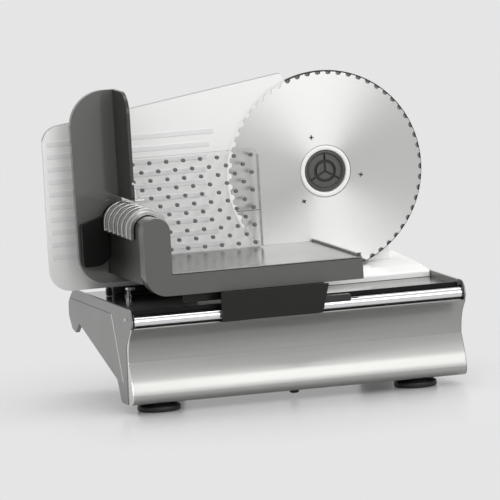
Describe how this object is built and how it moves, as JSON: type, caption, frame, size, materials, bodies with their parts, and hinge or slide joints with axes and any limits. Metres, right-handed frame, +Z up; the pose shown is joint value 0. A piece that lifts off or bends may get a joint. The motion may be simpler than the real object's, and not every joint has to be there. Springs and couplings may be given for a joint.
{
  "type": "meat slicer",
  "caption": "Household electric slicer with a round scalloped blade, a food carriage on a chrome rail, a sliding pusher and a thickness guide moved by a knob.",
  "frame": {"origin": "bottom centre of the machine's box, on the table", "axes": "+X to the right along the rail, +Y from the front panel to the motor housing, +Z up"},
  "size_m": [0.3644, 0.2404, 0.2888],
  "materials": {
    "brushed_steel": "brushed along the length, satin",
    "polished_steel": "polished, faint circular or straight brushing",
    "chrome": "mirror",
    "silver_plastic": "silver grey, satin",
    "dark_plastic": "dark grey, semi gloss",
    "black_plastic": "black, fine grain",
    "white_plastic": "white, satin",
    "clear_plastic": "clear, polished",
    "rubber": "matt",
    "zinc": "zinc plated",
    "nylon": "natural"
  },
  "bodies": {
    "base": {"front_panel": "brushed_steel", "end_cap_left": "silver_plastic", "end_cap_right": "silver_plastic", "cap_screw_left": "zinc", "cap_screw_right": "zinc", "deck": "polished_steel", "bottom_pan": "black_plastic", "slide_rail": "chrome", "rail_collar_left": "black_plastic", "rail_collar_right": "black_plastic", "foot_front_left": "rubber", "foot_front_right": "rubber", "foot_rear_left": "rubber", "foot_rear_right": "rubber", "rear_leg_left": "black_plastic", "rear_leg_right": "black_plastic", "middle_stud": "black_plastic", "motor_housing": "white_plastic", "rear_cover": "white_plastic", "cord_gland": "black_plastic", "housing_skirt": "white_plastic", "blade_guard": "dark_plastic", "axle_bushing": "nylon", "blade_axle": "zinc", "gearbox_frame": "zinc", "motor_mount": "zinc", "motor_can": "zinc", "shaft_bearing": "zinc", "switch_bezel": "black_plastic", "guide_block": "silver_plastic", "deck_post": "black_plastic", "deck_pin": "chrome"},
    "carriage": {"carriage_frame": "dark_plastic", "carriage_tray": "brushed_steel", "tray_edge_strip": "dark_plastic", "carriage_bracket": "dark_plastic", "rail_shoe": "black_plastic", "runner_post": "black_plastic"},
    "pusher": {"pusher_saddle": "silver_plastic", "pusher_collar": "black_plastic", "pusher_guard": "dark_plastic", "presser_plate": "clear_plastic", "presser_clip": "zinc", "presser_screw": "zinc"},
    "blade": {"blade": "polished_steel", "hub_ring": "white_plastic", "blade_screw_1": "zinc", "blade_screw_2": "zinc", "blade_screw_3": "zinc", "blade_carrier": "dark_plastic", "drive_gear": "nylon"},
    "lock": {"blade_lock": "black_plastic"},
    "rotor": {"rotor_worm": "zinc", "cooling_fan": "black_plastic"},
    "guide": {"guide_plate": "white_plastic", "guide_carrier": "black_plastic"},
    "knob": {"thickness_knob": "black_plastic"},
    "rocker": {"switch_rocker": "black_plastic"},
    "button": {"lock_button": "black_plastic"}
  },
  "joints": [
    {"name": "carriage_slide", "type": "slide", "parent": "base", "child": "carriage", "axis": [1, 0, 0], "range_m": [-0.075, 0.1]},
    {"name": "pusher_slide", "type": "slide", "parent": "carriage", "child": "pusher", "axis": [0, 1, 0], "range_m": [-0.055, 0.004]},
    {"name": "blade_spin", "type": "hinge", "parent": "base", "child": "blade", "pos_m": [0.0878, 0.0456, 0.193], "axis": [0, 1, 0], "continuous": true},
    {"name": "rotor_spin", "type": "hinge", "parent": "base", "child": "rotor", "pos_m": [0.1283, 0.0776, 0.193], "axis": [0, 0, 1], "continuous": true},
    {"name": "lock_turn", "type": "hinge", "parent": "blade", "child": "lock", "pos_m": [0.0878, 0.0456, 0.193], "axis": [0, 1, 0], "range_deg": [0, 60]},
    {"name": "guide_slide", "type": "slide", "parent": "base", "child": "guide", "axis": [0, 1, 0], "range_m": [-0.001, 0.01]},
    {"name": "knob_turn", "type": "hinge", "parent": "base", "child": "knob", "pos_m": [-0.0809, 0.0966, 0.122], "axis": [0, 1, 0], "range_deg": [-25, 200]},
    {"name": "switch_tip", "type": "hinge", "parent": "base", "child": "rocker", "pos_m": [0.151, 0.0919, 0.15], "axis": [0, 1, 0], "range_deg": [-9, 9]},
    {"name": "button_press", "type": "slide", "parent": "base", "child": "button", "axis": [0, 0, -1], "range_m": [0, 0.003], "stiffness_N_per_m": 300}
  ],
  "couplings": [
    {"joint": "rotor_spin", "follows": "blade_spin", "ratio": 32},
    {"joint": "knob_turn", "follows": "guide_slide", "rad_per_m": 314.16}
  ]
}
